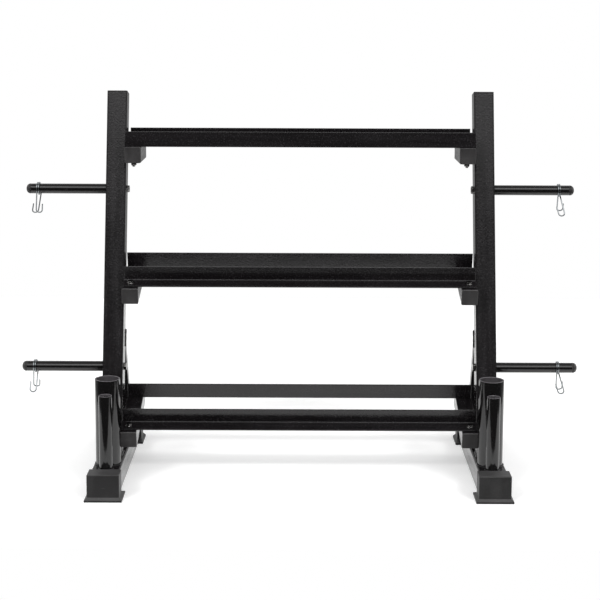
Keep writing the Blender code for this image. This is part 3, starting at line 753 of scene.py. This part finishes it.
def make_peg_bolts():
    """Hexagon heads against the uprights' inner faces, with plain shanks into the pegs."""
    across, head, radius, end_chamfer = 0.0170, 0.0065, 0.0050, 0.0008
    for side, sign in SIDES.items():
        for height in HEIGHTS:
            node = f"peg_bolt_{side}_{height}"
            low, high = cad_box(node)
            length = high.x - low.x
            bm = bmesh.new()
            loft(bm, hex_rings(across, -head, 0))
            turn_profile(bm, [(radius - end_chamfer, -length), (radius, end_chamfer - length),
                              (radius, 0.001 - head)], 32)
            face = low.x if sign > 0 else high.x
            spin = Matrix.Rotation(0.3 + 0.4 * sign, 4, "Z")
            add_piece(f"{node}_hex", mesh_from(bm, f"{node}_hex", 30.0), "fastener", stands_for=[node],
                      place=peg_place(low, high, face, -sign) @ spin)


def crossing(start, along, other_start, other_along):
    """Where two lines in the side view cross."""
    gap = other_start - start
    across = along.x * other_along.y - along.y * other_along.x
    return start + along * ((gap.x * other_along.y - gap.y * other_along.x) / across)


def side_lines(node, turn):
    """The four outlines of a tilted tube in the side view, each as (point, direction)."""
    low, high = cad_box(node, turn)
    along, up = Vector((math.cos(turn), math.sin(turn))), Vector((-math.sin(turn), math.cos(turn)))
    return {"front": (along * low.y, up), "rear": (along * high.y, up),
            "top": (up * high.z, along), "bottom": (up * low.z, along)}


def make_welds(sizes):
    """The beads of each side, from the arms down to the bar holder."""
    for side in SIDES:
        floor = cad_box(f"base_tube_{side}")[1].z
        arm_welds(side, sizes)
        foot_welds(side, floor, sizes)
        strut_top_weld(side, sizes)
        holder_welds(side, floor, sizes)


def arm_welds(side, sizes):
    """A bead round each shelf arm where it meets the upright's inner face."""
    low, high = cad_box(f"upright_{side}")
    face = low.x if SIDES[side] > 0 else high.x
    upright = side_lines(f"upright_{side}", -UPRIGHT_LEAN)
    for level, tilt in LEVELS.items():
        arm = side_lines(f"shelf_arm_{level}_{side}", tilt)
        corners = [crossing(*upright[edge], *arm[border]) for edge, border in (
            ("front", "bottom"), ("front", "top"), ("rear", "top"), ("rear", "bottom"))]
        middle = sum(corners, Vector((0, 0))) / 4
        corners = [spot + (spot - middle).normalized() * BEAD_RISE for spot in corners]
        weld_bead(f"arm_weld_{level}_{side}", [Vector((face, *spot)) for spot in corners], sizes,
                  seed=f"{level}{side}")


def foot_welds(side, floor, sizes):
    """The beads round the feet of an upright and of the strut behind it."""
    low, high = cad_box(f"upright_{side}")
    upright = side_lines(f"upright_{side}", -UPRIGHT_LEAN)
    ends = [crossing(*upright[edge], Vector((0, floor)), Vector((1, 0))).x for edge in ("front", "rear")]
    foot_weld(f"upright_weld_{side}", (low.x, high.x), ends, floor, sizes)
    foot = [spot for spot in cad_points(f"rear_strut_{side}") if spot.z < floor + NEAR]
    foot_weld(f"strut_weld_{side}", span(foot, 0), span(foot, 1), floor, sizes)


def foot_weld(name, width, depth, floor, sizes):
    """A bead round the foot of a tube on a flat top, with its corners cut."""
    cut = 0.004
    (left, right), (front, rear) = width, depth
    corners = [(left + cut, front), (right - cut, front), (right, front + cut), (right, rear - cut),
               (right - cut, rear), (left + cut, rear), (left, rear - cut), (left, front + cut)]
    weld_bead(name, [Vector((x, y, floor + BEAD_RISE)) for x, y in corners], sizes, seed=name)


def strut_top_weld(side, sizes):
    """The bead round a strut's upper end, on the upright's rear face."""
    low, high = cad_box(f"rear_strut_{side}", -UPRIGHT_LEAN)
    back = cad_box(f"upright_{side}", -UPRIGHT_LEAN)[1].y
    end = [spot for spot in cad_points(f"rear_strut_{side}", -UPRIGHT_LEAN) if spot.y < back + NEAR]
    bottom, top = span(end, 2)
    lean = Matrix.Rotation(-UPRIGHT_LEAN, 3, "X")
    corners = [lean @ Vector((x, back + 0.0005, z)) for x, z in (
        (low.x, bottom), (high.x, bottom), (high.x, top), (low.x, top))]
    weld_bead(f"strut_top_weld_{side}", corners, sizes, seed=f"top{side}")


def holder_welds(side, floor, sizes):
    """A bead round the feet of the two tubes of a bar holder, and three up each side of their seam."""
    rise, seam, steps = 0.0006, 0.0030, 48
    tubes = holder_places(side)
    wide, wide_foot, _ = tubes["wide"]
    narrow, narrow_foot, height = tubes["narrow"]
    outline = []
    for radius, foot, way in ((wide, wide_foot, 1), (narrow, narrow_foot, -1)):
        reach = radius + rise
        open_half = math.asin(min(1.0, (seam + rise) / reach))
        start = open_half - math.pi / 2 * way
        for step in range(steps + 1):
            turn = start + (2 * math.pi - 2 * open_half) * step / steps
            x, y = foot.x + reach * math.cos(turn), foot.y + reach * math.sin(turn)
            outline.append(Vector((x, y, floor + rise)))
    weld_bead(f"holder_weld_{side}", outline, sizes, seed=f"holder{side}")
    for mark, way in (("l", -1), ("r", 1)):
        for spot, shares in enumerate(((0.02, 0.14), (0.44, 0.56), (0.86, 0.98))):
            ends = [Vector((wide_foot.x + way * seam, wide_foot.y - wide, floor + height * share))
                    for share in shares]
            weld_bead(f"holder_seam_{side}_{mark}{spot}", ends, sizes, seed=f"seam{side}{way}{spot}",
                      closed=False)


def coat_frame():
    """Give the CAD nodes that stay their finishes, by how their names start; the first match counts."""
    finishes = {"base_tube": "powder_coat", "upright_cap": "cap_plastic", "upright": "upright_coat",
                "rear_strut": "powder_coat", "shelf_arm": "powder_coat", "shelf_rail": "rail_coat",
                "arm_cap": "arm_plastic", "foot_cap": "foot_plastic"}
    for node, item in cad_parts.items():
        start = next((start for start in finishes if node.startswith(start)), None)
        if start:
            for slot in item.material_slots:
                slot.material = finish_named(finishes[start])


def area_light(name, place, target, size, power):
    """A rectangular lamp that lights the rack but isn't seen in its gloss."""
    lamp = bpy.data.lights.new(name, "AREA")
    lamp.shape = "RECTANGLE"
    lamp.size, lamp.size_y = size
    lamp.energy = power
    item = bpy.data.objects.new(name, lamp)
    bpy.context.scene.collection.objects.link(item)
    item.location = place
    item.visible_glossy = False
    item.rotation_euler = (Vector(target) - Vector(place)).to_track_quat("-Z", "Y").to_euler()


def floor_card(name, half_width, front, rear, material):
    """A flat sheet on the floor, which is stage and no part of the rack."""
    corners = ((-half_width, front), (half_width, front), (half_width, rear), (-half_width, rear))
    bm = bmesh.new()
    bm.faces.new([bm.verts.new((x, y, 0)) for x, y in corners])
    mesh = bpy.data.meshes.new(name)
    bm.to_mesh(mesh)
    bm.free()
    mesh.materials.append(material)
    card = bpy.data.objects.new(name, mesh)
    bpy.context.scene.collection.objects.link(card)


def floor_finish(stage):
    """Pale paper: the camera and reflections see its white, and it keeps the rack's shadow."""
    paper = Nodes(bpy.data.materials.new("stage_paper"))
    camera = paper.node("ShaderNodeLightPath", output="Is Camera Ray")
    seen = camera.most(camera.beside("Is Glossy Ray")).most(camera.beside("Is Transmission Ray"))
    lit = paper.node("ShaderNodeBsdfDiffuse", None, {"Color": (0.80, 0.80, 0.80, 1)})
    glow = paper.node("ShaderNodeEmission", None, {
        "Color": (1, 1, 1, 1), "Strength": seen * stage.floor_glow})
    both = paper.node("ShaderNodeAddShader", None, {0: lit, 1: glow})
    paper.node("ShaderNodeOutputMaterial", None, {"Surface": both})
    return paper.owner


def room_light(stage):
    """The room: white to the camera, with a dim wall behind, a soft ceiling and a strip light in front."""
    world = bpy.data.worlds.new("stage_room")
    bpy.context.scene.world = world
    room = Nodes(world)
    way = room.node("ShaderNodeTexCoord", output="Generated")
    ahead = room.node("ShaderNodeSeparateXYZ", None, {"Vector": way}, output="Y")
    # The share of Z in the direction: 0 at the horizon and 1 overhead
    up = ahead.beside("Z")
    wall = (1 - up.step(0.45, 0.80)) * ahead.step(-0.25, 0.35)
    front = (0 - ahead).step(0.1, 0.8)
    above = up.step(0.33, 0.45) * (1 - up.step(0.60, 0.90) * 0.7) * (0.45 + 0.55 * front)
    strip = up.step(0.68, 0.72) * (1 - up.step(0.76, 0.80)) * front
    brightness = wall * 0.28 + above * stage.room + strip * stage.strip + 0.09
    camera = room.node("ShaderNodeLightPath", output="Is Camera Ray")
    strength = camera + (1 - camera) * brightness
    light = room.node("ShaderNodeBackground", None, {"Color": (1, 1, 1, 1), "Strength": strength})
    room.node("ShaderNodeOutputWorld", None, {"Surface": light})


def make_stage(stage):
    """A paper floor, two lamps above the front corners, the room's light and the camera."""
    scene = bpy.context.scene
    scene.view_settings.view_transform = "Standard"
    room_light(stage)
    floor_card("paper_floor", half_width=1.35, front=-0.57, rear=2.2, material=floor_finish(stage))
    for side, sign in SIDES.items():
        area_light(f"key_{side}", place=(3.7 * sign, -6.0, 5.0), target=(0, 0, 0.4), size=(2.1, 0.50),
                   power=stage.key_power)
    camera = bpy.data.cameras.new("camera")
    camera.sensor_width = 36
    camera.lens = stage.camera_lens
    camera.shift_y = stage.camera_shift
    item = bpy.data.objects.new("camera", camera)
    scene.collection.objects.link(item)
    down, right, roll = stage.camera_turn
    item.matrix_world = (Matrix.Translation(stage.camera_place) @ Matrix.Rotation(-right, 4, "Z")
                         @ Matrix.Rotation(math.pi / 2 - down, 4, "X") @ Matrix.Rotation(roll, 4, "Z"))
    scene.camera = item


class RACK_OT_coat_frame(bpy.types.Operator):
    """Give the tubes, rails and moulded caps their finishes"""
    bl_idname = "rack.coat_frame"
    bl_label = "Coat the frame"

    def execute(self, context):
        coat_frame()
        return {"FINISHED"}


class RACK_OT_bar_holders(bpy.types.Operator):
    """Make the two bar holders with rounded rims"""
    bl_idname = "rack.bar_holders"
    bl_label = "Bar holders"

    def execute(self, context):
        make_bar_holders(context.scene.rack_sizes)
        return {"FINISHED"}


class RACK_OT_plate_pegs(bpy.types.Operator):
    """Make the four plate pegs and their domed caps"""
    bl_idname = "rack.plate_pegs"
    bl_label = "Plate pegs"

    def execute(self, context):
        make_pegs()
        return {"FINISHED"}


class RACK_OT_spring_clips(bpy.types.Operator):
    """Wind the four spring clips on the pegs"""
    bl_idname = "rack.spring_clips"
    bl_label = "Spring clips"

    def execute(self, context):
        make_clips(context.scene.rack_sizes)
        return {"FINISHED"}


class RACK_OT_shelf_bolts(bpy.types.Operator):
    """Make the shelf bolts with their washers and lock nuts"""
    bl_idname = "rack.shelf_bolts"
    bl_label = "Shelf bolts"

    def execute(self, context):
        make_shelf_bolts(context.scene.rack_sizes)
        return {"FINISHED"}


class RACK_OT_peg_bolts(bpy.types.Operator):
    """Make the bolts that hold the pegs"""
    bl_idname = "rack.peg_bolts"
    bl_label = "Peg bolts"

    def execute(self, context):
        make_peg_bolts()
        return {"FINISHED"}


class RACK_OT_weld_beads(bpy.types.Operator):
    """Lay the weld beads between the tubes"""
    bl_idname = "rack.weld_beads"
    bl_label = "Weld beads"

    def execute(self, context):
        make_welds(context.scene.rack_sizes)
        return {"FINISHED"}


class RACK_OT_stage(bpy.types.Operator):
    """Set up the floor, the lights and the camera"""
    bl_idname = "rack.stage"
    bl_label = "Stage"

    def execute(self, context):
        make_stage(context.scene.rack_stage)
        return {"FINISHED"}


STEPS = (RACK_OT_stage, RACK_OT_coat_frame, RACK_OT_bar_holders, RACK_OT_plate_pegs, RACK_OT_spring_clips,
         RACK_OT_shelf_bolts, RACK_OT_peg_bolts, RACK_OT_weld_beads)


class RACK_PT_panel(bpy.types.Panel):
    """Lists the steps that dress the rack"""
    bl_idname = "RACK_PT_panel"
    bl_label = "Weight storage rack"
    bl_space_type = "VIEW_3D"
    bl_region_type = "UI"
    bl_category = "Rack"

    def draw(self, context):
        column = self.layout.column()
        for step in STEPS:
            column.operator(step.bl_idname)
        for group in (context.scene.rack_sizes, context.scene.rack_colours, context.scene.rack_stage):
            for name in group.bl_rna.properties.keys():
                if name not in ("rna_type", "name"):
                    column.prop(group, name)


CLASSES = (RackSizes, RackColours, RackStage, *STEPS, RACK_PT_panel)


def register():
    for item in CLASSES:
        bpy.utils.register_class(item)
    bpy.types.Scene.rack_sizes = PointerProperty(type=RackSizes)
    bpy.types.Scene.rack_colours = PointerProperty(type=RackColours)
    bpy.types.Scene.rack_stage = PointerProperty(type=RackStage)


def unregister():
    del bpy.types.Scene.rack_stage
    del bpy.types.Scene.rack_colours
    del bpy.types.Scene.rack_sizes
    for item in reversed(CLASSES):
        bpy.utils.unregister_class(item)


def main():
    register()
    bpy.ops.rack.stage()
    bpy.ops.rack.coat_frame()
    bpy.ops.rack.bar_holders()
    bpy.ops.rack.plate_pegs()
    bpy.ops.rack.spring_clips()
    bpy.ops.rack.shelf_bolts()
    bpy.ops.rack.peg_bolts()
    bpy.ops.rack.weld_beads()
    bpy.context.view_layer.update()


if __name__ == "__main__":
    main()
